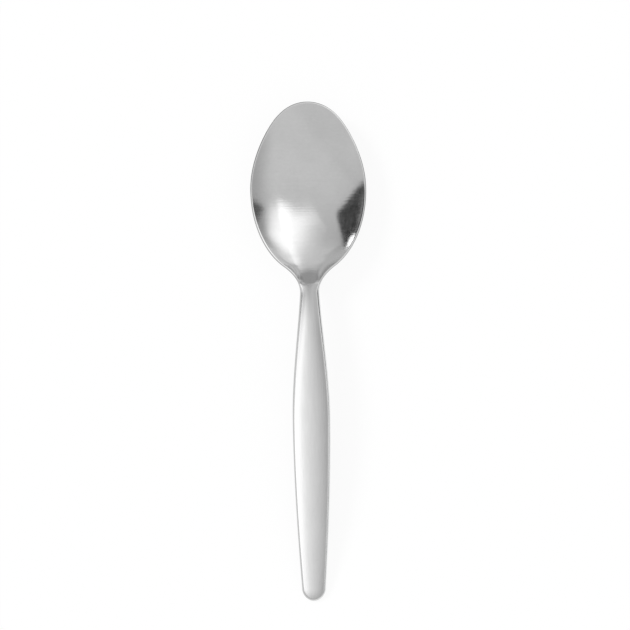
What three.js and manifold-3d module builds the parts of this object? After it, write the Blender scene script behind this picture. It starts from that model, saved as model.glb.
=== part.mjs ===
// Demitasse spoon pressed from one stainless steel blank, in millimetres, +Z up.
// It lies on its back on the table at z = 0, with the bowl's tip towards +Y and the handle's end
// towards -Y. A station is a distance along the spoon, measured from the tip of the bowl.
// The blank is modelled as two solids, bowl and handle, which meet face to face at the crease.
import * as THREE from "three";
import { mergeVertices } from "three/addons/utils/BufferGeometryUtils.js";
import Module from "manifold-3d";

// Plan: lengths and widths seen from above
const LENGTH = 110;
const BOWL_WIDTH = 25.5;
const BOWL_LENGTH = 38.2; // where the bowl's oval would close if no neck met it
const WIDEST_AT = 19.3; // station of the bowl's greatest width
const TIP_DRAW = 0.42; // share by which the tip is drawn in from a true half ellipse
const SHOULDER_LEAD = 2; // the outline leaves the oval this far before its end and flares into the neck
const HOLLOW_REACH = 1.8; // the hollow runs this far past the oval's end, to the crease
const NECK_REACH = 4.1; // the neck is narrowest this far past the oval's end
const NECK_WIDTH = 4.24;
const NECK_FLARE = 0.07; // growth of the half-width per mm at the neck
const BELLY_AT = 69.5; // station of the handle's greatest width
const BELLY_WIDTH = 8.28;
const END_WIDTH = 5.2; // width where the rounded end begins
const END_TAPER = -0.068; // change of the half-width per mm in front of the rounded end
const END_ROUND = 2.6; // length of the rounded end

// Bowl: the hollow, its wall and its rim
const BOWL_DEPTH = 5; // from the rim down to the inside of the bowl's floor
const BOWL_WALL = 0.9;
const HOLLOW_FULLNESS = 0.1; // 0 is a paraboloid, more has a flatter floor and steeper sides
const HOLLOW_LEAN = -0.08; // over 0 moves the deepest point towards the tip, under 0 towards the handle
const RUNOUT_REACH = 7; // the hollow's floor flattens over this distance in front of the crease
const RUNOUT_FLATNESS = 1.5; // 0 keeps the rounded floor, more has a flatter one
const RIM_WIDTH = 0.3; // at the tip and the sides
const SHOULDER_RIM = 0.35; // width of the rim at the shoulders
const RIM_ROUND = 0.3;
const RIM_SOFTNESS = 0.08; // rounding of the corner between the rim and the hollow

// Side view: heights of the spoon's top line above the rim's lowest stretch, and thickness
const TIP_RISE = 0.9;
const TIP_SLOPE = -0.06; // change of height per mm at the tip
const WIDEST_SLOPE = -0.005;
const CREASE_RISE = 1.5;
const CREASE_SLOPE = 0.22;
const CREST_AT = 60; // station of the handle's highest point
const CREST_RISE = 3;
const END_SLOPE = -0.27;
const THICKENS_AT = 28; // the wall grows from here to the neck
const NECK_THICKNESS = 2.3;
const BELLY_THICKNESS = 1.9;
const END_THICKNESS = 1.5;
const HEEL_FILLET = 0.8; // fills the corner under the neck, where the bowl's back meets the handle
const CROWN = 0.5; // the handle's top falls this much from its middle to its edges
const HANDLE_ROUND = 0.65; // edge radius of the handle
const ROUND_LIMIT = 0.45; // an edge radius takes at most this share of the edge's thickness
const BOWL_GRIND = 0.12; // polished off the bowl's back where it rests on the table
const END_GRIND = 0.45; // polished off the underside of the handle's end

// Facets
const FACET = 1.8; // length of a facet along and across the spoon
const END_FACET_ANGLE = 0.2; // radians between facets round the handle's end
const ROUND_STEPS = 4; // facets round an edge
const FAN_DEPTH = 8; // the facets of the tip fan out from a point this far behind it
const PROBE = 0.01; // step for measuring slopes
const WELD = 1e-4; // corners closer than this are one

const STEEL = { color: 0xc4c4c4, metalness: 1 };
const BOWL_ROUGHNESS = 0.12;
const HANDLE_ROUGHNESS = 0.25;

const { lerp, smoothstep } = THREE.MathUtils;
const shoulderAt = BOWL_LENGTH - SHOULDER_LEAD;
const creaseAt = BOWL_LENGTH + HOLLOW_REACH;
const neckAt = BOWL_LENGTH + NECK_REACH;
const endRoundAt = LENGTH - END_ROUND;
const halfBowl = BOWL_WIDTH / 2;

// Curves and blends
const slopeOf = (curve, at) => (curve(at + PROBE) - curve(at - PROBE)) / (2 * PROBE);
const softMax = (a, b, softness) => (a + b + Math.hypot(a - b, softness)) / 2;

// A cubic that leaves one point and meets another. A point is [station, value, slope].
function sweepBetween([a, valueA, slopeA], [b, valueB, slopeB], station) {
  const span = b - a;
  const share = (station - a) / span;
  const bend = slopeA * (1 - share) - slopeB * share;
  const blend = share ** 2 * (3 - 2 * share);
  return lerp(valueA, valueB, blend) + span * share * (1 - share) * bend;
}

// A smooth curve through several such points.
function sweepThrough(points) {
  return (station) => {
    const behind = points.filter((point) => point[0] <= station).length;
    const first = Math.min(points.length - 2, Math.max(0, behind - 1));
    return sweepBetween(points[first], points[first + 1], station);
  };
}

// Plan outline: the square of the half-width stays smooth round the tip and the end
const drawnIn = (share) => 1 - TIP_DRAW * share ** 2 * (1 - share ** 2);

function ovalSquared(station) {
  const ahead = (WIDEST_AT - station) / WIDEST_AT;
  const behind = (station - WIDEST_AT) / (BOWL_LENGTH - WIDEST_AT);
  return station < WIDEST_AT
    ? halfBowl ** 2 * (1 - ahead ** 2) * drawnIn(ahead)
    : halfBowl ** 2 * (1 - behind ** 2);
}

const ovalHalf = (station) => Math.sqrt(ovalSquared(station));
const handleHalf = sweepThrough([
  [shoulderAt, ovalHalf(shoulderAt), slopeOf(ovalHalf, shoulderAt)],
  [neckAt, NECK_WIDTH / 2, NECK_FLARE],
  [BELLY_AT, BELLY_WIDTH / 2, 0],
  [endRoundAt, END_WIDTH / 2, END_TAPER],
]);
const intoEnd = (station) => Math.max(0, (station - endRoundAt) / END_ROUND);

const squareEnded = (station) => (station < shoulderAt ? ovalSquared(station) : handleHalf(station) ** 2);
const outlineSquared = (station) => squareEnded(station) * (1 - intoEnd(station) ** 2);
const outlineHalf = (station) => Math.sqrt(Math.max(0, outlineSquared(station)));
const acrossShare = (x, station) => x ** 2 / Math.max(PROBE, squareEnded(station));

// Side view: the top line from the rim over the handle, and the thickness below it
const rimHeight = BOWL_DEPTH + BOWL_WALL - BOWL_GRIND;
const topLine = sweepThrough([
  [0, rimHeight + TIP_RISE, TIP_SLOPE],
  [WIDEST_AT, rimHeight, WIDEST_SLOPE],
  [creaseAt, rimHeight + CREASE_RISE, CREASE_SLOPE],
  [CREST_AT, rimHeight + CREST_RISE, 0],
  [LENGTH, END_THICKNESS - END_GRIND, END_SLOPE],
]);
const thickening = sweepThrough([
  [THICKENS_AT, BOWL_WALL, 0],
  [neckAt, NECK_THICKNESS, 0],
  [BELLY_AT, BELLY_THICKNESS, 0],
  [LENGTH, END_THICKNESS, 0],
]);
const thicknessAt = (station) => (station < THICKENS_AT ? BOWL_WALL : thickening(station));
const handleShare = (station) => smoothstep(station, shoulderAt, neckAt);
const heelShare = (station) => smoothstep(station, THICKENS_AT, neckAt);

// The hollow's level: 1 at its deepest, 0 along the inside of the rim, negative outside it
function hollowLevel(x, station) {
  const reach = creaseAt - RIM_WIDTH;
  const share = (station - RIM_WIDTH) / reach;
  const lean = (1 - 2 * HOLLOW_LEAN * share) * (1 + 2 * HOLLOW_LEAN * (1 - share));
  const arch = 4 * (1 - share) * lean;
  if (station < WIDEST_AT) {
    const ahead = (WIDEST_AT - station) / (WIDEST_AT - RIM_WIDTH);
    const across = (halfBowl - RIM_WIDTH) ** 2 * (1 + ahead) * drawnIn(ahead);
    const alongShare = (WIDEST_AT - RIM_WIDTH) / reach;
    return arch * (share - (alongShare * x ** 2) / across);
  }
  if (station > creaseAt) return arch * share;
  const rim = lerp(RIM_WIDTH, SHOULDER_RIM, smoothstep(station, WIDEST_AT, shoulderAt));
  const rimAcross = rim * Math.hypot(1, slopeOf(outlineHalf, station));
  const inside = Math.abs(x) / (outlineHalf(station) - rimAcross);
  const flatness = RUNOUT_FLATNESS * smoothstep(station, creaseAt - RUNOUT_REACH, creaseAt);
  return arch * share * (1 - inside ** (2 + 2 * flatness));
}

function hollowDepth(x, station) {
  const level = hollowLevel(x, station);
  return BOWL_DEPTH * level * (1 + HOLLOW_FULLNESS * (1 - level));
}

// Depths of the two skins below the top line, before the edges are rounded
function topDepth(x, station) {
  const fall = acrossShare(x, station) + intoEnd(station) ** 2;
  return softMax(hollowDepth(x, station), 0, RIM_SOFTNESS) + CROWN * handleShare(station) * fall;
}

function undersideDepth(x, station) {
  const slopeAcross = slopeOf((value) => hollowDepth(value, station), x);
  const slopeAlong = slopeOf((value) => hollowDepth(x, value), station);
  const wall = BOWL_WALL * Math.hypot(1, slopeAcross, slopeAlong);
  const keel = lerp(1 - acrossShare(x, station), 1, handleShare(station));
  const thickness = thicknessAt(station);
  const underHollow = hollowDepth(x, station) + wall + (thickness - BOWL_WALL) * keel;
  const heel = heelShare(station);
  return softMax(underHollow, thickness * heel, HEEL_FILLET * heel);
}

function edgeRoundAt(station) {
  const half = outlineHalf(station);
  const edgeThickness = undersideDepth(half, station) - topDepth(half, station);
  return Math.min(lerp(RIM_ROUND, HANDLE_ROUND, handleShare(station)), ROUND_LIMIT * edgeThickness);
}

// Facets: a row runs from the outline, in over the rounded edge, to a point on the centre line
const columns = Math.ceil(halfBowl / FACET);

function planRow(station, spineStation) {
  const half = outlineHalf(station);
  const outward = new THREE.Vector2(1, 0);
  if (station !== creaseAt) outward.set(2 * half, -slopeOf(outlineSquared, station)).normalize();
  const radius = edgeRoundAt(station);
  const pointAt = (inset) => ({
    x: half - outward.x * inset,
    station: station - outward.y * inset,
    rounding: radius - Math.sqrt(radius ** 2 - Math.max(0, radius - inset) ** 2),
  });
  const row = [];
  for (let step = 0; step < ROUND_STEPS; step++) {
    row.push(pointAt(radius * (1 - Math.cos(((step / ROUND_STEPS) * Math.PI) / 2))));
  }
  const inner = pointAt(Math.max(RIM_WIDTH, radius));
  for (let column = 0; column <= columns; column++) {
    const share = column / columns;
    row.push({ x: inner.x * (1 - share), station: lerp(inner.station, spineStation, share), rounding: 0 });
  }
  return row;
}

const placed = (side, x, station, height) => [side * x, LENGTH / 2 - station, height];

function topPoint(side, { x, station, rounding }) {
  return placed(side, x, station, topLine(station) - topDepth(x, station) - rounding);
}

function undersidePoint(side, { x, station, rounding }) {
  return placed(side, x, station, topLine(station) - undersideDepth(x, station) + rounding);
}

// A closed skin over the rows: top, underside, the edge between them, and a flat face on one row
function skinOver(rows, flatRow) {
  const corners = [];
  const facet = (a, b, c, d, turned) =>
    corners.push(...(turned ? [a, c, b, a, d, c] : [a, b, c, a, c, d]).flat());
  for (const side of [1, -1]) {
    const turned = side < 0;
    const top = rows.map((row) => row.map((point) => topPoint(side, point)));
    const under = rows.map((row) => row.map((point) => undersidePoint(side, point)));
    for (let i = 0; i + 1 < rows.length; i++) {
      facet(under[i][0], under[i + 1][0], top[i + 1][0], top[i][0], !turned);
      for (let k = 0; k + 1 < rows[i].length; k++) {
        facet(top[i][k], top[i + 1][k], top[i + 1][k + 1], top[i][k + 1], !turned);
        facet(under[i][k], under[i + 1][k], under[i + 1][k + 1], under[i][k + 1], turned);
      }
    }
    const flatTop = top.at(flatRow);
    const flatUnder = under.at(flatRow);
    const facesBack = flatRow < 0;
    for (let k = 0; k + 1 < flatTop.length; k++) {
      facet(flatTop[k], flatTop[k + 1], flatUnder[k + 1], flatUnder[k], turned === facesBack);
    }
  }
  const geometry = new THREE.BufferGeometry();
  geometry.setAttribute("position", new THREE.Float32BufferAttribute(corners, 3));
  return geometry;
}

// Solids: what lies above the table stays, which leaves a flat face at each of the two rests
const wasm = await Module();
wasm.setup();

function solidOf(geometry) {
  geometry.deleteAttribute("normal");
  geometry.deleteAttribute("uv");
  const welded = mergeVertices(geometry, WELD);
  const vertProperties = welded.attributes.position.array;
  const triVerts = new Uint32Array(welded.index.array);
  return new wasm.Manifold(new wasm.Mesh({ numProp: 3, vertProperties, triVerts }));
}

function aboveTable(geometry) {
  const room = 2 * LENGTH;
  const space = new THREE.BoxGeometry(room, room, room).translate(0, 0, room / 2);
  const { vertProperties, triVerts } = solidOf(geometry).intersect(solidOf(space)).getMesh();
  const cut = new THREE.BufferGeometry();
  cut.setAttribute("position", new THREE.BufferAttribute(vertProperties, 3));
  cut.setIndex(new THREE.BufferAttribute(triVerts, 1));
  cut.computeVertexNormals();
  return cut;
}

// Values from one end up to, and without, the other
function spaced(from, to, step) {
  const count = Math.ceil((to - from) / step);
  return Array.from({ length: count }, (_, index) => lerp(from, to, index / count));
}

// Bowl: round the tip by angle, then down the oval and the shoulder to the crease
function bowlGeometry() {
  const tipAngles = spaced(0, Math.PI / 2, FACET / WIDEST_AT);
  const stations = [
    ...tipAngles.map((angle) => WIDEST_AT * (1 - Math.cos(angle))),
    ...spaced(WIDEST_AT, shoulderAt, FACET),
    ...spaced(shoulderAt, creaseAt, FACET / 2),
    creaseAt,
  ];
  const fanned = (station) => station + FAN_DEPTH * (1 - station / creaseAt) ** 3;
  const rows = stations.map((station) => planRow(station, fanned(station)));
  return aboveTable(skinOver(rows, -1));
}

// Handle: from the crease over the neck and the belly, then round the end by angle
function handleGeometry() {
  const endAngles = [...spaced(0, Math.PI / 2, END_FACET_ANGLE), Math.PI / 2];
  const stations = [
    ...spaced(creaseAt, endRoundAt, FACET),
    ...endAngles.map((angle) => endRoundAt + END_ROUND * Math.sin(angle)),
  ];
  const rows = stations.map((station) => planRow(station, Math.min(station, endRoundAt)));
  return aboveTable(skinOver(rows, 0));
}

function piece(name, geometry, roughness) {
  const mesh = new THREE.Mesh(geometry, new THREE.MeshStandardMaterial({ ...STEEL, roughness }));
  mesh.name = name;
  return mesh;
}

const spoon = new THREE.Group();
spoon.add(piece("bowl", bowlGeometry(), BOWL_ROUGHNESS));
spoon.add(piece("handle", handleGeometry(), HANDLE_ROUGHNESS));

export default spoon;
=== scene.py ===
# %% [markdown]
# # A demitasse spoon in polished and satin steel
#
# The spoon is one blank of stainless steel sheet, pressed to shape and polished. It has no seams, so all
# of its character is in how the surface swells, hollows and turns over at the edges, and in what the
# steel mirrors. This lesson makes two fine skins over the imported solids, a bowl and a handle, from rules
# written as node arithmetic. Then it finishes the steel and sets the light, the floor and the camera.

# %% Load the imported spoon
import math
from types import SimpleNamespace

import bmesh
import bpy
import numpy as np
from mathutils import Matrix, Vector


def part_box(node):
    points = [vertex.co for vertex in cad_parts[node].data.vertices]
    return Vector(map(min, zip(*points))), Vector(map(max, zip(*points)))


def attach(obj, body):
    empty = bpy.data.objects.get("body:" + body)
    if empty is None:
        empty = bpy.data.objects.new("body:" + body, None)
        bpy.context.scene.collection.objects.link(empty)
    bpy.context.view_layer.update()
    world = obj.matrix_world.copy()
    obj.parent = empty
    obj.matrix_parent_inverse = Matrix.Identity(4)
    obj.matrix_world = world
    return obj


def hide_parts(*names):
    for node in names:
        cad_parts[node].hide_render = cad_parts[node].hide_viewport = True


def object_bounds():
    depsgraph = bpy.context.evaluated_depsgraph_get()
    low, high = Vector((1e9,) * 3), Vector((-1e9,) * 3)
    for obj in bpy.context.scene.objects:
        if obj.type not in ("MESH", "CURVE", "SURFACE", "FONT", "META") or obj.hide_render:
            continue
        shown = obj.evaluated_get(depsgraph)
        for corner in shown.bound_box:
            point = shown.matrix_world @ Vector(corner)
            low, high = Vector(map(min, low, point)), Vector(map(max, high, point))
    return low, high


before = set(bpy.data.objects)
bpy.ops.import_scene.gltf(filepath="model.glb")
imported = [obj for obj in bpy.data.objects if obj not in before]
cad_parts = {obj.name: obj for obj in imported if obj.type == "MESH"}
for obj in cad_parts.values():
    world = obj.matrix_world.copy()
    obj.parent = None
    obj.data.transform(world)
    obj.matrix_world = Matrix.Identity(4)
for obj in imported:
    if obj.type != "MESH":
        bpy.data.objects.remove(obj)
cad_low, cad_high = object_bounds()
bowl_low, bowl_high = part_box("bowl")
print("packed spoon, in mm:", [round(1000 * side, 2) for side in cad_high - cad_low])

# %% [markdown]
# ## Sizes
#
# The length, the bowl's width and the place of the crease, where the hollow ends, are measured on the
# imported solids, so the skins follow them. The other sizes are a maker's dimensions in metres. A station
# is a distance along the spoon from the tip of the bowl, and a size whose name ends in `_at` is one.
# Rises are heights above the rim where the bowl is widest. Slopes, tapers and flares are plain ratios, and
# so are draw, fullness, lean, flatness and limit.

# %% Name the sizes
sizes = {
    "length": cad_high.y - cad_low.y,
    "bowl_width": bowl_high.x - bowl_low.x,
    "crease_at": cad_high.y - bowl_low.y,
    "widest_at": 0.0193,
    "tip_draw": 0.42,
    "hollow_reach": 0.0018,
    "shoulder_lead": 0.002,
    "neck_reach": 0.0041,
    "neck_width": 0.00424,
    "neck_flare": 0.07,
    "belly_at": 0.0695,
    "belly_width": 0.00828,
    "end_width": 0.0052,
    "end_taper": -0.068,
    "end_round": 0.0026,
    "bowl_depth": 0.005,
    "bowl_wall": 0.0009,
    "hollow_fullness": 0.1,
    "hollow_lean": -0.08,
    "runout_reach": 0.006,
    "runout_flatness": 1.0,
    "rim_width": 0.0003,
    "shoulder_rim": 0.00043,
    "rim_round": 0.0003,
    "rim_softness": 0.00008,
    "tip_rise": 0.0009,
    "tip_slope": -0.06,
    "widest_slope": -0.005,
    "crease_rise": 0.0015,
    "crease_slope": 0.22,
    "crest_at": 0.06,
    "crest_rise": 0.003,
    "end_slope": -0.27,
    "thickens_at": 0.028,
    "neck_thickness": 0.0023,
    "belly_thickness": 0.0019,
    "end_thickness": 0.0015,
    "heel_fillet": 0.0008,
    "crown": 0.0005,
    "end_crown": 0.00031,
    "handle_round": 0.00065,
    "round_limit": 0.45,
    "bowl_grind": 0.00012,
    "end_grind": 0.00045,
}
print(len(sizes), "sizes, crease at", round(1000 * sizes["crease_at"], 2), "mm from the tip")

# %% [markdown]
# ## Arithmetic that draws nodes
#
# A node tree is arithmetic drawn as boxes, and a long formula takes hundreds of them. A line of code for
# each box would hide the formula. Here a `Wire` stands for one output socket. When two wires are added or
# compared, Python calls a method below, which adds a Math node and returns its output as a new wire. So a
# formula can be read as a formula, and Blender still gets real nodes. Two equal steps share one node,
# which keeps the trees small.

# %% Write node arithmetic as plain arithmetic
def operator(operation, swapped=False):
    def apply(self, other):
        pair = (other, self) if swapped else (self, other)
        return wired("ShaderNodeMath", *pair, operation=operation)

    return apply


class Wire:
    """One output socket of a node tree, ready for arithmetic."""

    def __init__(self, socket):
        self.socket = socket

    __add__ = operator("ADD")
    __radd__ = operator("ADD", swapped=True)
    __sub__ = operator("SUBTRACT")
    __rsub__ = operator("SUBTRACT", swapped=True)
    __mul__ = operator("MULTIPLY")
    __rmul__ = operator("MULTIPLY", swapped=True)
    __truediv__ = operator("DIVIDE")
    __lt__ = operator("LESS_THAN")
    __gt__ = operator("GREATER_THAN")


def is_wire(*values):
    return any(isinstance(value, Wire) for value in values)


def add_node(tree, kind, *values, **options):
    """Adds a node, sets its options, and fills its inputs in order with wires or constants."""
    node = tree.nodes.new(kind)
    for option, choice in options.items():
        setattr(node, option, choice)
    for socket, value in zip(node.inputs, values):
        if is_wire(value):
            tree.links.new(value.socket, socket)
        elif value is not None:
            socket.default_value = value
    return node


known_steps = {}


def wired(kind, *values, **options):
    """The first output of such a node, in the tree of the wires among its values."""
    keys = [value.socket.as_pointer() if is_wire(value) else value for value in values]
    step_key = (kind, *keys, *options.values())
    if step_key not in known_steps:
        tree = next(value for value in values if is_wire(value)).socket.id_data
        known_steps[step_key] = Wire(add_node(tree, kind, *values, **options).outputs[0])
    return known_steps[step_key]


# %% [markdown]
# ## One formula, two uses
#
# The handle's shape follows a rule along its length, so Geometry Nodes make it, with its sizes as inputs
# of the modifier. The bowl's rule probes its slopes many more times, for the rim and the wall, so its tree
# would be far larger, and the bowl is worked out with arrays of numbers instead. Each helper below does
# its step either way: wires in give a node, and numbers in give a number.

# %% Name the steps that formulas share
STEPS = {
    "SQRT": np.sqrt,
    "SINE": np.sin,
    "COSINE": np.cos,
    "MAXIMUM": np.maximum,
    "MINIMUM": np.minimum,
    "PINGPONG": lambda value, scale: scale - abs(value % (2 * scale) - scale),
}


def step(operation, *values):
    if is_wire(*values):
        return wired("ShaderNodeMath", *values, operation=operation)
    return STEPS[operation](*values)


def within(value):
    """The value, kept between 0 and 1."""
    return wired("ShaderNodeClamp", value, 0.0, 1.0) if is_wire(value) else np.clip(value, 0, 1)


def mix(a, b, share):
    if is_wire(a, b, share):
        return wired("ShaderNodeMix", share, None, a, b, clamp_factor=False)
    return a + (b - a) * share


def choose(flag, yes, no):
    return mix(no, yes, flag) if is_wire(flag) else np.where(flag, yes, no)


def ease(value, start, end):
    """0 before start, 1 after end, and a smooth step between them."""
    if is_wire(value, start, end):
        return wired("ShaderNodeMapRange", value, start, end, 0.0, 1.0, interpolation_type="SMOOTHSTEP")
    share = within((value - start) / (end - start))
    return share * share * (3 - 2 * share)


def joined(x, y, z):
    if is_wire(x, y, z):
        return wired("ShaderNodeCombineXYZ", x, y, z)
    return np.stack(np.broadcast_arrays(x, y, z), axis=-1)


def split(vector):
    node = add_node(vector.socket.id_data, "ShaderNodeSeparateXYZ", vector)
    return [Wire(output) for output in node.outputs]


# %% [markdown]
# ## Curves of the form
#
# A stamping's outline has no corners, so each width and height runs through a few knots of station, value
# and slope, joined by cubics. Blender's Float Curve node could draw such a curve too, but its points have
# no exact slopes. `soft_max` is the larger of two values with the corner between them rounded, which is
# how polishing leaves a corner.

# %% Draw smooth curves through knots
PROBE = 0.00001


def slope_of(curve, at):
    return (curve(at + PROBE) - curve(at - PROBE)) / (2 * PROBE)


def length_of(*sides):
    return step("SQRT", sum(side * side for side in sides))


def soft_max(a, b, softness):
    return (a + b + length_of(a - b, softness)) * 0.5


def sweep_between(station, first, second):
    (start, value, slope), (end, next_value, next_slope) = first, second
    span = end - start
    share = (station - start) / span
    rest = 1 - share
    bend = slope * rest - next_slope * share
    return mix(value, next_value, share * share * (3 - 2 * share)) + span * share * rest * bend


def sweep(station, knots):
    curve = sweep_between(station, knots[0], knots[1])
    for first, second in zip(knots[1:], knots[2:]):
        curve = choose(station < first[0], curve, sweep_between(station, first, second))
    return curve


# %% [markdown]
# ## Plan
#
# Seen from above, the bowl is an egg: two half ellipses, the front one drawn in near the tip. The outline
# leaves the egg at the shoulder, narrows to the neck, swells to the belly and ends in a round. A drawn
# curve could give the same line, but a formula gives the width at any station. The square of the half-width
# is used where it can be, because it stays smooth at the tip, where the half-width itself turns straight
# down.

# %% Outline of the spoon
SMALL_AREA = 1e-8
TINY_AREA = 1e-10


def drawn_in(s, share):
    square = share * share
    return 1 - s.tip_draw * square * (1 - square)


def oval_squared(s, station):
    ahead = (s.widest_at - station) / s.widest_at
    behind = (station - s.widest_at) / (s.bowl_length - s.widest_at)
    front = (1 - ahead * ahead) * drawn_in(s, ahead)
    return s.half_bowl * s.half_bowl * choose(station < s.widest_at, front, 1 - behind * behind)


def shank_half(s, station):
    def oval_half(at):
        return step("SQRT", oval_squared(s, at))

    knots = [
        (s.shoulder_at, oval_half(s.shoulder_at), slope_of(oval_half, s.shoulder_at)),
        (s.neck_at, s.neck_width / 2, s.neck_flare),
        (s.belly_at, s.belly_width / 2, 0.0),
        (s.end_round_at, s.end_width / 2, s.end_taper),
    ]
    return sweep(station, knots[:2] if s.in_bowl else knots)


def into_end(s, station):
    return step("MAXIMUM", 0.0, (station - s.end_round_at) / s.end_round)


def square_ended(s, station):
    """The half-width squared, without the round of the handle's end."""
    half = shank_half(s, station)
    if not s.in_bowl:
        return half * half
    return choose(station < s.shoulder_at, oval_squared(s, station), half * half)


def outline_squared(s, station):
    round_share = into_end(s, station)
    return square_ended(s, station) * (1 - round_share * round_share)


def outline_half(s, station):
    return step("SQRT", step("MAXIMUM", 0.0, outline_squared(s, station) - TINY_AREA))


def across_share(s, x, station):
    return x * x / step("MAXIMUM", SMALL_AREA, square_ended(s, station))


# %% [markdown]
# ## Side view
#
# From the side, the rim dips a little between the tip and the heel, and the handle rises from the neck to
# a crest and comes down to the table at its end. The wall is thin in the bowl and thickens towards the
# neck, which has to carry the load. The crown is how far the middle of the handle stands above its sides.
# It grows from nothing at the shoulder and lessens from the belly to the end. A flat blank bent by a
# Curve modifier would look alike, but heights written as formulas keep the two skins in line.

# %% Top line, thickness and crown
def top_line(s, station):
    knots = [
        (0.0, s.rim_height + s.tip_rise, s.tip_slope),
        (s.widest_at, s.rim_height, s.widest_slope),
        (s.crease_at, s.rim_height + s.crease_rise, s.crease_slope),
        (s.crest_at, s.rim_height + s.crest_rise, 0.0),
        (s.length, s.end_thickness - s.end_grind, s.end_slope),
    ]
    return sweep(station, knots[:3] if s.in_bowl else knots[2:])


def thickness_at(s, station):
    knots = [
        (s.thickens_at, s.bowl_wall, 0.0),
        (s.neck_at, s.neck_thickness, 0.0),
        (s.belly_at, s.belly_thickness, 0.0),
        (s.length, s.end_thickness, 0.0),
    ]
    if not s.in_bowl:
        return sweep(station, knots)
    return choose(station < s.thickens_at, s.bowl_wall, sweep(station, knots[:2]))


def shank_share(s, station):
    return ease(station, s.shoulder_at, s.neck_at)


def crown_at(s, station):
    full = s.crown if s.in_bowl else mix(s.crown, s.end_crown, ease(station, s.belly_at, s.end_round_at))
    return full * shank_share(s, station)


# %% [markdown]
# ## Hollow
#
# The hollow is pressed by a die, so it has a level: 1 at its deepest, 0 along the inside of the rim, and
# below 0 outside it. One formula covers the front half and another the rear half, whose floor is flatter
# from side to side as it runs out at the crease. `hollow_fullness` makes the whole floor flatter and the
# sides steeper than a plain paraboloid. On the handle the level is already below 0, and the same formula
# keeps the two skins in line at the crease. A subdivided cage could be pulled to such a form, but polished
# steel shows every dent, and a formula has none.

# %% Level and depth of the hollow
def hollow_level(s, x, station):
    reach = s.crease_at - s.rim_width
    share = (station - s.rim_width) / reach
    lean = (1 - 2 * s.hollow_lean * share) * (1 + 2 * s.hollow_lean * (1 - share))
    arch = 4 * (1 - share) * lean
    if not s.in_bowl:
        return arch * share
    inner_half = s.half_bowl - s.rim_width
    ahead = (s.widest_at - station) / (s.widest_at - s.rim_width)
    across = inner_half * inner_half * (1 + ahead) * drawn_in(s, ahead)
    front = arch * (share - (s.widest_at - s.rim_width) / reach * x * x / across)
    rim = mix(s.rim_width, s.shoulder_rim, ease(station, s.widest_at, s.shoulder_at))
    rim_across = rim * length_of(1, slope_of(lambda at: outline_half(s, at), station))
    inside = x / (outline_half(s, station) - rim_across)
    flatness = s.runout_flatness * ease(station, s.crease_at - s.runout_reach, s.crease_at)
    rear = arch * share * (1 - (inside * inside) ** (1 + flatness))
    return choose(station < s.widest_at, front, rear)


def hollow_depth(s, x, station):
    level = hollow_level(s, x, station)
    return s.bowl_depth * level * (1 + s.hollow_fullness * (1 - level))


# %% [markdown]
# ## Two skins
#
# The top skin follows the hollow in the bowl and the crown on the handle. The underside lies one wall
# below the hollow. The wall is measured square to the metal, so straight down it is longer where the hollow
# is steep. Under the neck, the bowl's back and the handle meet in a softened heel. The edge is rounded at
# the top and at the underside, and `round_limit` keeps the two rounds from meeting where the metal is thin.
# A Solidify modifier could give an even wall, but this one thickens towards the neck.

# %% Depth of each skin below the top line
def top_depth(s, x, station):
    end_share = into_end(s, station)
    fall = across_share(s, x, station) + end_share * end_share
    hollow = soft_max(hollow_depth(s, x, station), 0.0, s.rim_softness)
    return hollow + crown_at(s, station) * fall


def underside_depth(s, x, station):
    depth = hollow_depth(s, x, station)
    steep = [1, slope_of(lambda at: hollow_depth(s, x, at), station)]
    if s.in_bowl:
        steep.append(slope_of(lambda at: hollow_depth(s, at, station), x))
    wall = s.bowl_wall * length_of(*steep)
    keel = mix(1 - across_share(s, x, station), 1.0, shank_share(s, station))
    thickness = thickness_at(s, station)
    heel = ease(station, s.thickens_at, s.neck_at)
    under_hollow = depth + wall + (thickness - s.bowl_wall) * keel
    return soft_max(under_hollow, thickness * heel, s.heel_fillet * heel)


def edge_round(s, station):
    edge_thickness = thickness_at(s, station) - crown_at(s, station)
    radius = mix(s.rim_round, s.handle_round, shank_share(s, station))
    return step("MINIMUM", radius, s.round_limit * edge_thickness)


# %% [markdown]
# ## Rows and columns
#
# A flat grid becomes the skin. Its rows are sections across the spoon, and each section is a closed loop:
# out over the top to the right edge, back under the metal to the left edge, and over the top again. Round
# the tip and the end, rows are spaced by angle, so that they fan out and no two edges crowd together. One
# extra row at the crease shrinks to a point and closes the piece there. Columns are closest over the rim
# and round the edge, where the surface turns fastest. An even grid would be simpler, but it would need far
# more points for a rim as smooth as this.

# %% Rows: stations of the edge and of the centre line
TIP_ROWS = 110
HEEL_ROWS = 110
SHANK_ROWS = 250
END_ROWS = 30
TIP_FAN = 0.008
END_FAN = 0.0012
QUARTER_TURN = math.pi / 2


def bowl_rows(s, row):
    turn = within(row / TIP_ROWS)
    lengthwise = (s.crease_at - s.widest_at) * within((row - TIP_ROWS) / HEEL_ROWS)
    station = s.widest_at * (1 - step("COSINE", turn * QUARTER_TURN)) + lengthwise
    spine = TIP_FAN + (s.widest_at - TIP_FAN) * turn + lengthwise
    closing = within(row - TIP_ROWS - HEEL_ROWS)
    return station, spine, closing


def handle_rows(s, row):
    turn = within((row - 1 - SHANK_ROWS) / END_ROWS)
    lengthwise = s.crease_at + (s.end_round_at - s.crease_at) * within((row - 1) / SHANK_ROWS)
    station = lengthwise + s.end_round * step("SINE", turn * QUARTER_TURN)
    spine = lengthwise + END_FAN * turn
    closing = 1 - within(row)
    return station, spine, closing


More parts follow.
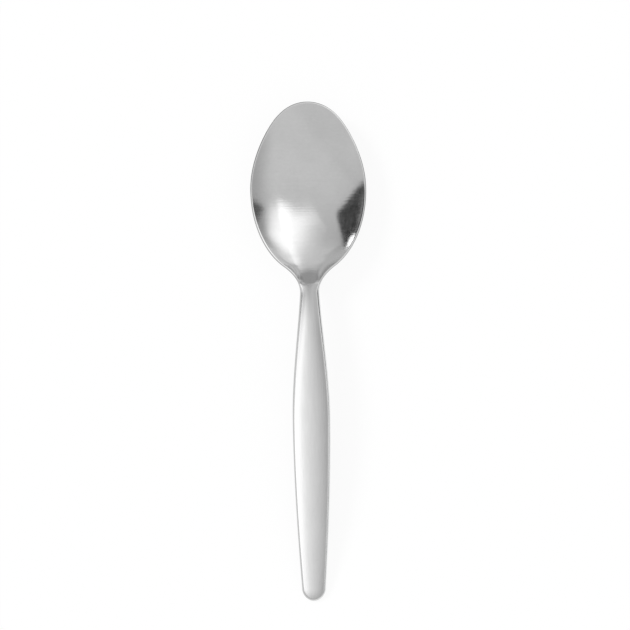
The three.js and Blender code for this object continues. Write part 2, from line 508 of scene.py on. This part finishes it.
# %% Columns: places round one section
INNER_COLUMNS = 34
RIM_COLUMNS = 10
ROUND_COLUMNS = 7
BAND_COLUMNS = 1
QUARTER_COLUMNS = INNER_COLUMNS + RIM_COLUMNS + ROUND_COLUMNS + BAND_COLUMNS
RIM_REACH = 0.001
SQUARE_REACH = 0.003


def stretch(column, first, count):
    """The share of one stretch of columns that lies before this column."""
    return within((column - first) / count)


def section_point(s, row, loop):
    """A point of the skin as a position, and how near it is to the edge, from 0 to 1."""
    station, spine, closing = (bowl_rows if s.in_bowl else handle_rows)(s, row)
    quarters = loop * 4
    side = choose(quarters < 2, 1.0, -1.0)
    is_under = (quarters > 1) * (quarters < 3)
    column = step("PINGPONG", quarters, 1.0) * QUARTER_COLUMNS
    inner = stretch(column, 0, INNER_COLUMNS)
    rim = stretch(column, INNER_COLUMNS, RIM_COLUMNS)
    turn = stretch(column, INNER_COLUMNS + RIM_COLUMNS, ROUND_COLUMNS) * QUARTER_TURN
    band = stretch(column, QUARTER_COLUMNS - BAND_COLUMNS, BAND_COLUMNS)

    radius = edge_round(s, station)
    inset = (RIM_REACH - radius) * (1 - rim) + radius * (1 - step("SINE", turn))
    drop = radius * (1 - step("COSINE", turn))

    half = outline_half(s, station)
    from_crease = (s.crease_at - station) if s.in_bowl else (station - s.crease_at)
    lean = slope_of(lambda at: outline_squared(s, at), station) * ease(from_crease, 0.0, SQUARE_REACH)
    steepness = length_of(2 * half, lean)
    x = inner * (half - 2 * half / steepness * inset)
    at = mix(spine, station + lean / steepness * inset, inner)

    line = top_line(s, at)
    top = line - top_depth(s, x, at) - drop
    under = line - underside_depth(s, x, at) + drop
    height = mix(choose(is_under, under, top), (top + under) * 0.5, band)
    middle = line - thickness_at(s, at) * 0.5
    height = step("MAXIMUM", 0.0, mix(height, middle, closing))
    place = joined(side * x * (1 - closing), s.length * 0.5 - at, height)
    return place, rim * 0.5 + turn * (0.5 / QUARTER_TURN)


# %% Sizes and places of one piece
def label(size_name):
    return size_name.replace("_", " ").capitalize()


def with_places(values, in_bowl):
    """The sizes as numbers or as wires, and the places that follow from them."""
    s = SimpleNamespace(**values, in_bowl=in_bowl)
    s.half_bowl = s.bowl_width / 2
    s.bowl_length = s.crease_at - s.hollow_reach
    s.shoulder_at = s.bowl_length - s.shoulder_lead
    s.neck_at = s.bowl_length + s.neck_reach
    s.end_round_at = s.length - s.end_round
    s.rim_height = s.bowl_depth + s.bowl_wall - s.bowl_grind
    return s


# %% [markdown]
# ## Bowl
#
# Half of a stretched sphere would be a quick bowl, but it has no flat rim, no heel and no run-out. So the
# bowl is one array of points, a row for each section. The faces join each point to its neighbours in the
# row and in the next row. Merging doubles closes the seam at the tip, where the two halves of the first
# row lie on each other. The nearness to the edge is kept as an attribute, so that the finish can find the
# rim, which use rubs a little brighter than the rest.

# %% Skin the bowl
WELD = 0.000002
SHARP_ANGLE = math.radians(60)
LOOP_COLUMNS = 4 * QUARTER_COLUMNS


def bowl_skin(steel):
    row = np.arange(TIP_ROWS + HEEL_ROWS + 2.0)[:, None]
    loop = np.arange(LOOP_COLUMNS)[None, :] / LOOP_COLUMNS
    with np.errstate(all="ignore"):
        places, nearness = section_point(with_places(sizes, True), row, loop)
    nearness = np.broadcast_to(nearness, places.shape[:2])
    index = np.arange(places[..., 0].size).reshape(places.shape[:2])
    beside = np.roll(index, -1, axis=1)
    faces = np.stack([index[:-1], index[1:], beside[1:], beside[:-1]], axis=-1)
    skin = bpy.data.meshes.new("bowl_skin")
    skin.from_pydata(places.reshape(-1, 3).tolist(), [], faces.reshape(-1, 4).tolist())
    skin.attributes.new("edge", "FLOAT", "POINT").data.foreach_set("value", nearness.ravel())
    shape = bmesh.new()
    shape.from_mesh(skin)
    bmesh.ops.remove_doubles(shape, verts=shape.verts, dist=WELD)
    bmesh.ops.dissolve_degenerate(shape, edges=shape.edges, dist=WELD)
    shape.to_mesh(skin)
    shape.free()
    skin.shade_smooth()
    skin.set_sharp_from_angle(angle=SHARP_ANGLE)
    skin.materials.append(steel)
    piece = bpy.data.objects.new("bowl_skin", skin)
    bpy.context.collection.objects.link(piece)
    print("bowl has", len(skin.polygons), "faces")
    return piece


# %% [markdown]
# ## Handle
#
# The handle is a crowned bar that swells at the belly. A curve with a bevel and a taper could make such a
# bar, but a taper scales width and thickness together, and here each has its own rule. So the handle's
# tree lays a flat grid, moves its points by the same formulas, merges the seam along the centre line and
# marks as sharp the edges of the flat face at the crease. Every size is a named input of the tree.

# %% Build the handle's tree
def handle_tree(steel):
    tree = bpy.data.node_groups.new("handle_form", "GeometryNodeTree")
    for name in sizes:
        tree.interface.new_socket(label(name), in_out="INPUT", socket_type="NodeSocketFloat")
    tree.interface.new_socket("Skin", in_out="OUTPUT", socket_type="NodeSocketGeometry")
    inputs = tree.nodes.new("NodeGroupInput").outputs
    s = with_places({name: Wire(inputs[label(name)]) for name in sizes}, False)
    row_count = SHANK_ROWS + END_ROWS + 1
    grid = add_node(tree, "GeometryNodeMeshGrid", 1.0, 1.0, row_count + 1, LOOP_COLUMNS + 1)
    across, along, _ = split(Wire(add_node(tree, "GeometryNodeInputPosition").outputs[0]))
    place, nearness = section_point(s, (across + 0.5) * row_count, along + 0.5)
    marked = wired(
        "GeometryNodeStoreNamedAttribute", Wire(grid.outputs[0]), None, "edge", nearness, data_type="FLOAT"
    )
    moved = wired("GeometryNodeSetPosition", marked, None, place)
    welded = wired("GeometryNodeMergeByDistance", moved, None, WELD)
    smooth = wired("GeometryNodeSetShadeSmooth", welded, None, True)
    angle = Wire(add_node(tree, "GeometryNodeInputMeshEdgeAngle").outputs[0])
    creased = wired("GeometryNodeSetShadeSmooth", smooth, angle > SHARP_ANGLE, False, domain="EDGE")
    realized = wired("GeometryNodeRealizeInstances", creased)
    finished = wired("GeometryNodeSetMaterial", realized, None, steel)
    tree.links.new(finished.socket, tree.nodes.new("NodeGroupOutput").inputs[0])
    return tree


# %% Turn the tree into a plain mesh
def handle_skin(steel):
    tree = handle_tree(steel)
    piece = bpy.data.objects.new("handle_skin", bpy.data.meshes.new("handle_blank"))
    bpy.context.collection.objects.link(piece)
    modifier = piece.modifiers.new("form", "NODES")
    modifier.node_group = tree
    identifiers = {item.name: item.identifier for item in tree.interface.items_tree}
    for name, value in sizes.items():
        modifier[identifiers[label(name)]] = value
    evaluated = piece.evaluated_get(bpy.context.evaluated_depsgraph_get())
    skin = bpy.data.meshes.new_from_object(evaluated)
    piece.modifiers.remove(modifier)
    piece.data = skin
    skin.materials.clear()
    skin.materials.append(steel)
    skin.polygons.foreach_set("material_index", [0] * len(skin.polygons))
    print("handle has", len(skin.polygons), "faces, from", len(tree.nodes), "nodes")
    return piece


# %% [markdown]
# ## Steel
#
# Stainless steel is a neutral grey mirror, and most of its finish is in the roughness. The bowl was buffed
# across, so it is bright with faint cross streaks. The handle was brushed lengthwise to a soft satin, which
# runs on under the heel of the bowl. Use has rubbed the edges of both brighter. The outermost line of the
# bowl's rim is darkened by painted shade into a dark outline, and so are the two corners at the crease, the
# left one more than the right. One roughness all over would be simpler, but a highlight would then show no
# strokes. So each finish is noise stretched along the strokes of the wheel, on Object coordinates, which
# drives the roughness, a very shallow bump and a slight change of tone. A pair of numbers says where a
# change starts and where it is complete.

# %% Noise stretched along the strokes
STROKE_DETAIL = 3.0
BLOT_DETAIL = 2.0


def object_place(tree):
    return Wire(tree.nodes.new("ShaderNodeTexCoord").outputs["Object"])


def stretched_noise(place, per_metre, detail):
    """Noise with a given number of grains per metre along X, Y and Z."""
    scaled = wired("ShaderNodeVectorMath", place, per_metre, operation="MULTIPLY")
    return wired("ShaderNodeTexNoise", scaled, None, 1.0, detail)


def swing(noise, reach):
    """The noise about its middle, so that it takes away as often as it adds."""
    return reach * (noise - 0.5)


# %% Start a steel and feed its shader
def new_steel(name):
    steel = bpy.data.materials.new(name)
    steel.use_nodes = True
    shader = steel.node_tree.nodes["Principled BSDF"]
    shader.inputs["Metallic"].default_value = 1.0
    return steel, shader


def grey(value):
    return joined(value, value, value)


def bumped(height, depth):
    return wired("ShaderNodeBump", 1.0, depth, None, height)


def feed(shader, **wires):
    tree = shader.id_data
    for name, wire in wires.items():
        tree.links.new(wire.socket, shader.inputs[name.replace("_", " ").title()])
    print("this steel takes", len(tree.nodes), "nodes")


# %% Find the edge, the corners with painted shade and the heel
RUBBED_EDGE = (0.43, 0.55)
# the outermost line of the rim, where painted shade draws a dark outline
SHADED_RIM_LINE = (0.58, 0.72)
# where painted shade darkens the two corners at the crease, the right one less
CORNER_ACROSS = (0.0012, 0.002)
CORNER_EDGE = (0.6, 0.5)
CORNER_ALONG = (0.0024, 0.001)
RIGHT_CORNER_SHADE = 0.5
TURNED_DOWN = (0.2, -0.1)
HEEL_ALONG = (0.007, 0.0)


def edge_nearness(tree):
    """Half where the round of the edge starts, and 1 along its outermost line."""
    return Wire(add_node(tree, "ShaderNodeAttribute", attribute_name="edge").outputs["Fac"])


def crease_corner_shade(place, edge):
    """Painted shade in the corners at the crease: 1 in the left one, less in the right one, and 0 on the
    rest of the bowl.
    """
    x, y, _ = split(place)
    inside_rim = ease(step("ABSOLUTE", x), *CORNER_ACROSS) * ease(edge, *CORNER_EDGE)
    return inside_rim * ease(y - bowl_low.y, *CORNER_ALONG) * mix(1.0, RIGHT_CORNER_SHADE, x > 0.0)


def under_heel(tree, place):
    """1 under the heel, next to the crease, and 0 on the rest of the bowl."""
    facing_up = split(Wire(tree.nodes.new("ShaderNodeNewGeometry").outputs["Normal"]))[2]
    return ease(facing_up, *TURNED_DOWN) * ease(split(place)[1] - bowl_low.y, *HEEL_ALONG)


# %% Polish of the bowl
SATIN_ROUGHNESS = 0.21

polish = SimpleNamespace(
    streaks_per_metre=(110, 3200, 110),
    smudges_per_metre=(160, 160, 160),
    grain_per_metre=(1500, 1900, 1500),
    roughness=0.13,
    streak_roughness=0.08,
    smudge_roughness=0.05,
    tone=0.70,
    smudge_tone=0.10,
    streak_tone=0.03,
    grain_tone=0.05,
    rubbed_tone=0.09,
    # painted shade: a dark outline along the outermost line of the bowl's rim
    painted_rim_shade=0.24,
    # painted shade in the two corners at the crease
    painted_corner_shade=0.5,
    heel_tone=0.5,
    grain_height=0.5,
    bump=0.000008,
)


def polished_steel():
    steel, shader = new_steel("polished_steel")
    place = object_place(steel.node_tree)
    edge = edge_nearness(steel.node_tree)
    satin_share = under_heel(steel.node_tree, place)
    streaks = stretched_noise(place, polish.streaks_per_metre, STROKE_DETAIL)
    smudges = stretched_noise(place, polish.smudges_per_metre, BLOT_DETAIL)
    grain = stretched_noise(place, polish.grain_per_metre, BLOT_DETAIL)
    roughness = polish.roughness + swing(streaks, polish.streak_roughness)
    roughness = roughness + swing(smudges, polish.smudge_roughness)
    roughness = mix(roughness, SATIN_ROUGHNESS, satin_share)
    tone = polish.tone + swing(smudges, polish.smudge_tone)
    tone = tone + swing(streaks, polish.streak_tone) + swing(grain, polish.grain_tone)
    # painted shade: the outermost line of the bowl's rim is darkened into a dark outline
    tone = tone + polish.rubbed_tone * ease(edge, *RUBBED_EDGE) - polish.painted_rim_shade * ease(edge, *SHADED_RIM_LINE)
    # painted shade: the corners at the crease are darkened, the left one most
    tone = tone * (1 - polish.painted_corner_shade * crease_corner_shade(place, edge))
    tone = mix(tone, polish.heel_tone, satin_share)
    normal = bumped(streaks + polish.grain_height * grain, polish.bump)
    feed(shader, base_color=grey(tone), roughness=roughness, normal=normal)
    return steel


# %% Satin of the handle
satin = SimpleNamespace(
    grain_per_metre=(3200, 120, 3200),
    smudges_per_metre=(220, 120, 220),
    grain_roughness=0.08,
    smudge_roughness=0.05,
    tone=0.48,
    smudge_tone=0.05,
    grain_tone=0.05,
    rubbed_tone=0.12,
    bump=0.000006,
)


def satin_steel():
    steel, shader = new_steel("satin_steel")
    place = object_place(steel.node_tree)
    edge = edge_nearness(steel.node_tree)
    grain = stretched_noise(place, satin.grain_per_metre, STROKE_DETAIL)
    smudges = stretched_noise(place, satin.smudges_per_metre, BLOT_DETAIL)
    roughness = SATIN_ROUGHNESS + swing(grain, satin.grain_roughness)
    roughness = roughness + swing(smudges, satin.smudge_roughness)
    tone = satin.tone + swing(smudges, satin.smudge_tone) + swing(grain, satin.grain_tone)
    tone = tone + satin.rubbed_tone * ease(edge, *RUBBED_EDGE)
    feed(shader, base_color=grey(tone), roughness=roughness, normal=bumped(grain, satin.bump))
    return steel


# %% [markdown]
# ## The two pieces
#
# The bowl and the handle each replace the CAD node of the same name, which is hidden, and ride on the
# spoon's only body. The bowl takes the polished steel and the handle the satin steel.

# %% Make the bowl and the handle
bowl = bowl_skin(polished_steel())
handle = handle_skin(satin_steel())
for piece, node in ((bowl, "bowl"), (handle, "handle")):
    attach(piece, "root")
    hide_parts(node)

# %% [markdown]
# ## Floor
#
# The spoon lies on a large white sheet. To the camera the sheet glows, so that it comes out white, and a
# share of plain paper is left in it to show the spoon's shadow. A lamp bright enough to whiten real paper
# would burn out the steel. In the steel the sheet has a brightness of its own: it is bright close to the
# handle, dimmer beside the bowl and dimmest past the tip.

# %% Brightness of the floor in the steel
mirrored_floor = SimpleNamespace(
    near_left=0.95,
    near_right=1.35,
    near_across=(-0.004, 0.004),
    far_left=0.6,
    far_right=0.35,
    far_across=(-0.01, 0.01),
    beside=(0.004, 0.015),
    bowl_along=(0.012, 0.022),
    past_tip=0.35,
    tip_along=(0.052, 0.058),
)


def floor_in_steel(tree):
    x, y, _ = split(object_place(tree))
    look = mirrored_floor
    near = mix(look.near_left, look.near_right, ease(x, *look.near_across))
    far = mix(look.far_left, look.far_right, ease(x, *look.far_across))
    beside_bowl = ease(step("ABSOLUTE", x), *look.beside) * ease(y, *look.bowl_along)
    return mix(near, far, beside_bowl) * mix(1.0, look.past_tip, ease(y, *look.tip_along))


# %% Paper that glows
PAPER_COLOUR = (0.9, 0.9, 0.9, 1.0)
GLOW_SHARE = 0.85
GLOW_STRENGTH = 1.04


def floor_paper():
    paper = bpy.data.materials.new("floor_paper")
    paper.use_nodes = True
    tree = paper.node_tree
    tree.nodes.clear()
    path = tree.nodes.new("ShaderNodeLightPath").outputs
    by_camera = Wire(path["Is Camera Ray"])
    by_steel = Wire(path["Is Glossy Ray"])
    strength = by_camera * GLOW_STRENGTH + by_steel * floor_in_steel(tree)
    plain = Wire(add_node(tree, "ShaderNodeBsdfDiffuse", PAPER_COLOUR).outputs[0])
    glow = Wire(add_node(tree, "ShaderNodeEmission", None, strength).outputs[0])
    glow_share = step("MAXIMUM", by_camera, by_steel) * GLOW_SHARE
    blend = add_node(tree, "ShaderNodeMixShader", glow_share, plain, glow)
    tree.links.new(blend.outputs[0], tree.nodes.new("ShaderNodeOutputMaterial").inputs[0])
    return paper


# %% Lay the floor
FLOOR_SIDE = 4.0
FLOOR_DROP = 0.00002

half_side = FLOOR_SIDE / 2
corners = [(-1, -1), (1, -1), (1, 1), (-1, 1)]
floor_mesh = bpy.data.meshes.new("floor")
floor_mesh.from_pydata([(half_side * x, half_side * y, -FLOOR_DROP) for x, y in corners], [], [(0, 1, 2, 3)])
floor_mesh.materials.append(floor_paper())
floor = bpy.data.objects.new("floor", floor_mesh)
bpy.context.collection.objects.link(floor)
print("floor is", FLOOR_SIDE, "m square")

# %% [markdown]
# ## A map of directions
#
# Polished steel shows nothing but its surroundings. Boards and lamps could be moved about until their
# reflections fell right, but that takes many tries, so here the light is drawn. Directions are laid out on
# a flat map by x and y over 1 plus z. The map has one property that helps: seen from straight above, a
# point of the steel mirrors the spot of the map whose coordinates are how steeply the steel falls along x
# and y. So a shape can be drawn on the map where it should appear in the bowl. Each edge of a shape is a
# corner that it runs through, the angle that points into the shape, and the width over which it fades.

# %% Shapes on the map
LEAST_REACH = 0.1


def map_spot(direction):
    x, y, z = split(direction)
    reach = step("MAXIMUM", z + 1, LEAST_REACH)
    return x / reach, y / reach


def half_plane(spot, corner, angle, softness):
    """1 on the side of a line through a corner that the angle points to, 0 on the other side."""
    across, up = spot
    turn = math.radians(angle)
    distance = (across - corner[0]) * math.cos(turn) + (up - corner[1]) * math.sin(turn)
    return ease(distance, -softness / 2, softness / 2)


def patch(spot, edges):
    shape = half_plane(spot, *edges[0])
    for edge in edges[1:]:
        shape = shape * half_plane(spot, *edge)
    return shape


# %% [markdown]
# ## Room
#
# The room is an even grey. It has a dark doorway on the left with a bright sliver of light beyond it, a
# dark gap on the right, and a dim back wall, which the run-out of the hollow mirrors. The other shapes are
# slight changes of tone. Real walls and a real door would do it too, but a drawn world is easier to adjust
# and lights the spoon evenly. The camera sees white instead.

# %% Name the shapes of the room
SKY = 0.725
DIM_SHAPES = {
    "front": (0.068, [((0.0, -0.398), -118, 0.08)]),
    "horizon": (0.2, [((0.0, 0.622), 102.7, 0.052)]),
    "back": (0.33, [((0.0, 0.66), 90, 0.06), ((-0.35, 0.7), 0, 0.2), ((0.55, 0.7), 180, 0.2)]),
    "corner": (0.291, [((0.02, 0.216), 98, 0.897), ((0.02, 0.216), 242.8, 0.253)]),
    "side": (0.358, [((0.625, 0.0), 0, 0.419)]),
    "low side": (0.18, [((0.72, 0.2), 0, 0.15), ((0.72, 0.2), 90, 0.2)]),
    "gap": (0.76, [((0.66, 0.105), 83.8, 0.03), ((0.66, 0.105), -50.1, 0.08)]),
}
DOORWAY = [
    ((-0.39, 0.122), 113.6, 0.05),
    ((-0.61, 0.4185), 215, 0.04),
    ((-0.7, 0.75), -90, 0.04),
    ((-0.87, 0.3), 0, 0.03),
]
DOORWAY_DEPTH = 0.9
CLUTTER_SCALE = 45.0
CLUTTER_DETAIL = 3.0
CLUTTER_REACH = 1.5
HAZE = 0.12
HAZE_ACROSS = (-0.76, -0.87)
SLIVER = [((-0.765, 0.5), 180, 0.02), ((-0.8, 0.445), 90, 0.03), ((-0.8, 0.645), -90, 0.03)]
SLIVER_LIGHT = 2.5
EDGE_LIGHT = 0.25
EDGE_ACROSS = (-0.86, -0.9)
WHITE = (1.0, 1.0, 1.0, 1.0)


# %% Paint the room on the world
def paint_room():
    world = bpy.data.worlds.new("room")
    world.use_nodes = True
    tree = world.node_tree
    direction = Wire(tree.nodes.new("ShaderNodeTexCoord").outputs["Generated"])
    spot = map_spot(direction)
    light = SKY
    for dimming, edges in DIM_SHAPES.values():
        light = light * (1 - dimming * patch(spot, edges))
    clutter = wired("ShaderNodeTexNoise", direction, None, CLUTTER_SCALE, CLUTTER_DETAIL)
    depth = within(DOORWAY_DEPTH - HAZE * ease(spot[0], *HAZE_ACROSS) + swing(clutter, CLUTTER_REACH))
    light = light * (1 - depth * patch(spot, DOORWAY)) + SLIVER_LIGHT * patch(spot, SLIVER)
    light = light + EDGE_LIGHT * ease(spot[0], *EDGE_ACROSS)
    seen = Wire(tree.nodes.new("ShaderNodeLightPath").outputs["Is Camera Ray"])
    background = tree.nodes["Background"]
    background.inputs["Color"].default_value = WHITE
    tree.links.new(mix(light, 1.0, seen).socket, background.inputs["Strength"])
    print("room has", len(DIM_SHAPES) + 2, "shapes in", len(tree.nodes), "nodes")
    return world


scene = bpy.context.scene
scene.world = paint_room()
scene.view_settings.view_transform = "Standard"

# %% [markdown]
# ## Lamps
#
# A photographer keeps a lamp off part of the subject with flags, and light linking does the same here. The
# window's light falls on the bowl alone, the graded panel's on the handle and the sun's on the floor. The
# window and the panel are flat lamps that face back along the direction of a spot of the map. What they
# show is drawn in their own node trees, where the position of a point of the lamp gives its direction.

# %% Hang a lamp and draw in its light
def toward(spot):
    x, y = spot
    square = x * x + y * y
    return Vector((2 * x, 2 * y, 1 - square)) / (1 + square)


def link_light(lamp, receiver):
    group = bpy.data.collections.new(lamp.name + "_receivers")
    group.objects.link(receiver)
    lamp.light_linking.receiver_collection = group
    print(lamp.name, "lights the", receiver.name)


def hang_panel(name, place, spot, width, length):
    """A rectangular panel of brightness 1 that faces back along the direction of a spot of the map."""
    panel = bpy.data.lights.new(name, "AREA")
    panel.shape = "RECTANGLE"
    panel.size = width
    panel.size_y = length
    panel.energy = math.pi * width * length
    panel.use_nodes = True
    lamp = bpy.data.objects.new(name, panel)
    lamp.location = place
    lamp.rotation_euler = toward(spot).to_track_quat("Z", "Y").to_euler()
    bpy.context.collection.objects.link(lamp)
    return lamp


def lamp_point(lamp):
    return Wire(lamp.data.node_tree.nodes.new("ShaderNodeNewGeometry").outputs["Position"])


def spot_of(way):
    """The spot of the map that lies along a vector of any length."""
    return map_spot(wired("ShaderNodeVectorMath", way, operation="NORMALIZE"))


def spot_from(centre, point):
    return spot_of(wired("ShaderNodeVectorMath", point, centre, operation="SUBTRACT"))


def shine(lamp, strength):
    tree = lamp.data.node_tree
    tree.links.new(strength.socket, tree.nodes["Emission"].inputs["Strength"])


# %% Hang the window over the bowl
BOWL_CENTRE = (0.0, 0.034, 0.004)
WINDOW_SPOT = (0.3, 0.36)
WINDOW_DISTANCE = 0.6
WINDOW_SIDE = 1.5
LOW_PANE = [
    ((0.423, 0.165), 104.5, 0.211),
    ((0.364, 0.274), 144.4, 0.572),
    ((0.273, 0.164), -34.8, 0.722),
]
LOW_PANE_LIGHT = 1.098
TALL_PANE = [
    ((0.406, 0.023), 87.2, 0.029),
    ((0.419, 0.285), 180.1, 0.104),
    ((0.48, 0.364), 188, 0.597),
    ((0.409, 0.664), -83.8, 0.246),
    ((0.358, 0.39), -0.8, 0.519),
]
TALL_PANE_LIGHT = 1.163
CURTAIN = [
    ((0.294, 0.074), 88.3, 0.118),
    ((0.666, 0.264), 145.4, 0.18),
    ((0.399, 0.537), 250.2, 0.263),
    ((0.111, 0.302), -47.4, 0.661),
]
CURTAIN_LIGHT = 0.537

window_place = Vector(BOWL_CENTRE) + WINDOW_DISTANCE * toward(WINDOW_SPOT)
window = hang_panel("window", window_place, WINDOW_SPOT, WINDOW_SIDE, WINDOW_SIDE)
link_light(window, bowl)
window_spot = spot_from(BOWL_CENTRE, lamp_point(window))
low_pane = LOW_PANE_LIGHT * patch(window_spot, LOW_PANE)
tall_pane = TALL_PANE_LIGHT * patch(window_spot, TALL_PANE)
shine(window, step("MAXIMUM", low_pane, tall_pane) + CURTAIN_LIGHT * patch(window_spot, CURTAIN))

# %% Hang a graded panel over the handle
STRAIGHT_UP = (0.0, 0.0)
PANEL_PLACE = (-0.4, -0.2, 0.25)
PANEL_WIDTH = 2.4
PANEL_LENGTH = 1.2
NECK_CENTRE = (0.0, 0.006, 0.008)
CROSSWISE = (1.0, 0.0, 1.0)

panel = hang_panel("panel", PANEL_PLACE, STRAIGHT_UP, PANEL_WIDTH, PANEL_LENGTH)
link_light(panel, handle)
panel_point = lamp_point(panel)
along = split(panel_point)[1]
beside_handle = wired("ShaderNodeVectorMath", panel_point, CROSSWISE, operation="MULTIPLY")
across = spot_of(beside_handle)[0]
ahead = spot_from(NECK_CENTRE, panel_point)[1]

# %% Grade the panel from side to side and along the handle
ramp = SimpleNamespace(light=0.83, start=0.15, width=0.31)
BANDS = {
    "right half": (0.23, 0.2, 0.15),
    "white line": (0.6, -0.115, -0.165),
    "left side": (-0.34, -0.17, -0.25),
    "left edge": (-0.4, -0.25, -0.75),
    "right edge": (0.55, 0.4, 0.5),
}
BELLY_BAND = (-0.35, -0.2, -0.4)
BELLY_ALONG = (-0.1, -0.03)
NECK_FADE_START = 0.15
NECK_FADE_END = 0.02
LEFT_FADE = (0.2, -0.25, -0.45)
END_FADE = (-0.5, -0.15)


def light_band(shade, value):
    """Light of some strength that sets in between two values."""
    strength, start, end = shade
    return strength * ease(value, start, end)


graded = ramp.light * within((ramp.start - across) / ramp.width)
graded = graded + sum(light_band(shade, across) for shade in BANDS.values())
graded = graded + light_band(BELLY_BAND, across) * ease(along, *BELLY_ALONG)
over_neck = ease(along, NECK_FADE_START + light_band(LEFT_FADE, across), NECK_FADE_END)
graded = graded * over_neck * ease(along, *END_FADE)

# %% Light the sides of the neck
RIGHT_OF_NECK = (0.2, 0.0, 0.15)
RIGHT_ALONG = (0.0, 0.08)
LEFT_OF_NECK = (0.5, -0.3, -0.45)
LEFT_AHEAD = (0.2, 0.14)
LEFT_RIM = (0.35, -0.66, -0.75)
NECK_AHEAD = (0.0, 0.09)

right_side = light_band(RIGHT_OF_NECK, across) * ease(along, *RIGHT_ALONG)
left_side = light_band(LEFT_OF_NECK, across) * ease(ahead, *LEFT_AHEAD) + light_band(LEFT_RIM, across)
shine(panel, graded + right_side + left_side * ease(ahead, *NECK_AHEAD))

# %% Throw a faint shadow
SUN_SPOT = (-0.39, 0.25)
SUN_ANGLE = math.radians(18)
SUN_STRENGTH = 1.0

sun = bpy.data.objects.new("sun", bpy.data.lights.new("sun", "SUN"))
sun.data.energy = SUN_STRENGTH
sun.data.angle = SUN_ANGLE
sun.rotation_euler = toward(SUN_SPOT).to_track_quat("Z", "Y").to_euler()
bpy.context.collection.objects.link(sun)
link_light(sun, floor)

# %% [markdown]
# ## Camera
#
# The camera looks straight down from far above, so the spoon has almost no perspective. The frame is turned
# by less than a degree, which is how the spoon lies in the picture. An orthographic camera would give nearly
# the same frame, but a real lens is never quite without perspective.

# %% Place the camera
CAMERA_HEIGHT = 1.5
VIEW_WIDTH = 0.1385
VIEW_CENTRE = (0.00109, 0.00808)
SUBJECT_HEIGHT = 0.006
CAMERA_ROLL = math.radians(-0.84)

camera_data = bpy.data.cameras.new("camera")
camera_data.lens = camera_data.sensor_width * (CAMERA_HEIGHT - SUBJECT_HEIGHT) / VIEW_WIDTH
camera = bpy.data.objects.new("camera", camera_data)
camera.location = (*VIEW_CENTRE, CAMERA_HEIGHT)
camera.rotation_euler = (0.0, 0.0, CAMERA_ROLL)
bpy.context.collection.objects.link(camera)
scene.camera = camera
print("lens, in mm:", round(camera_data.lens, 1))
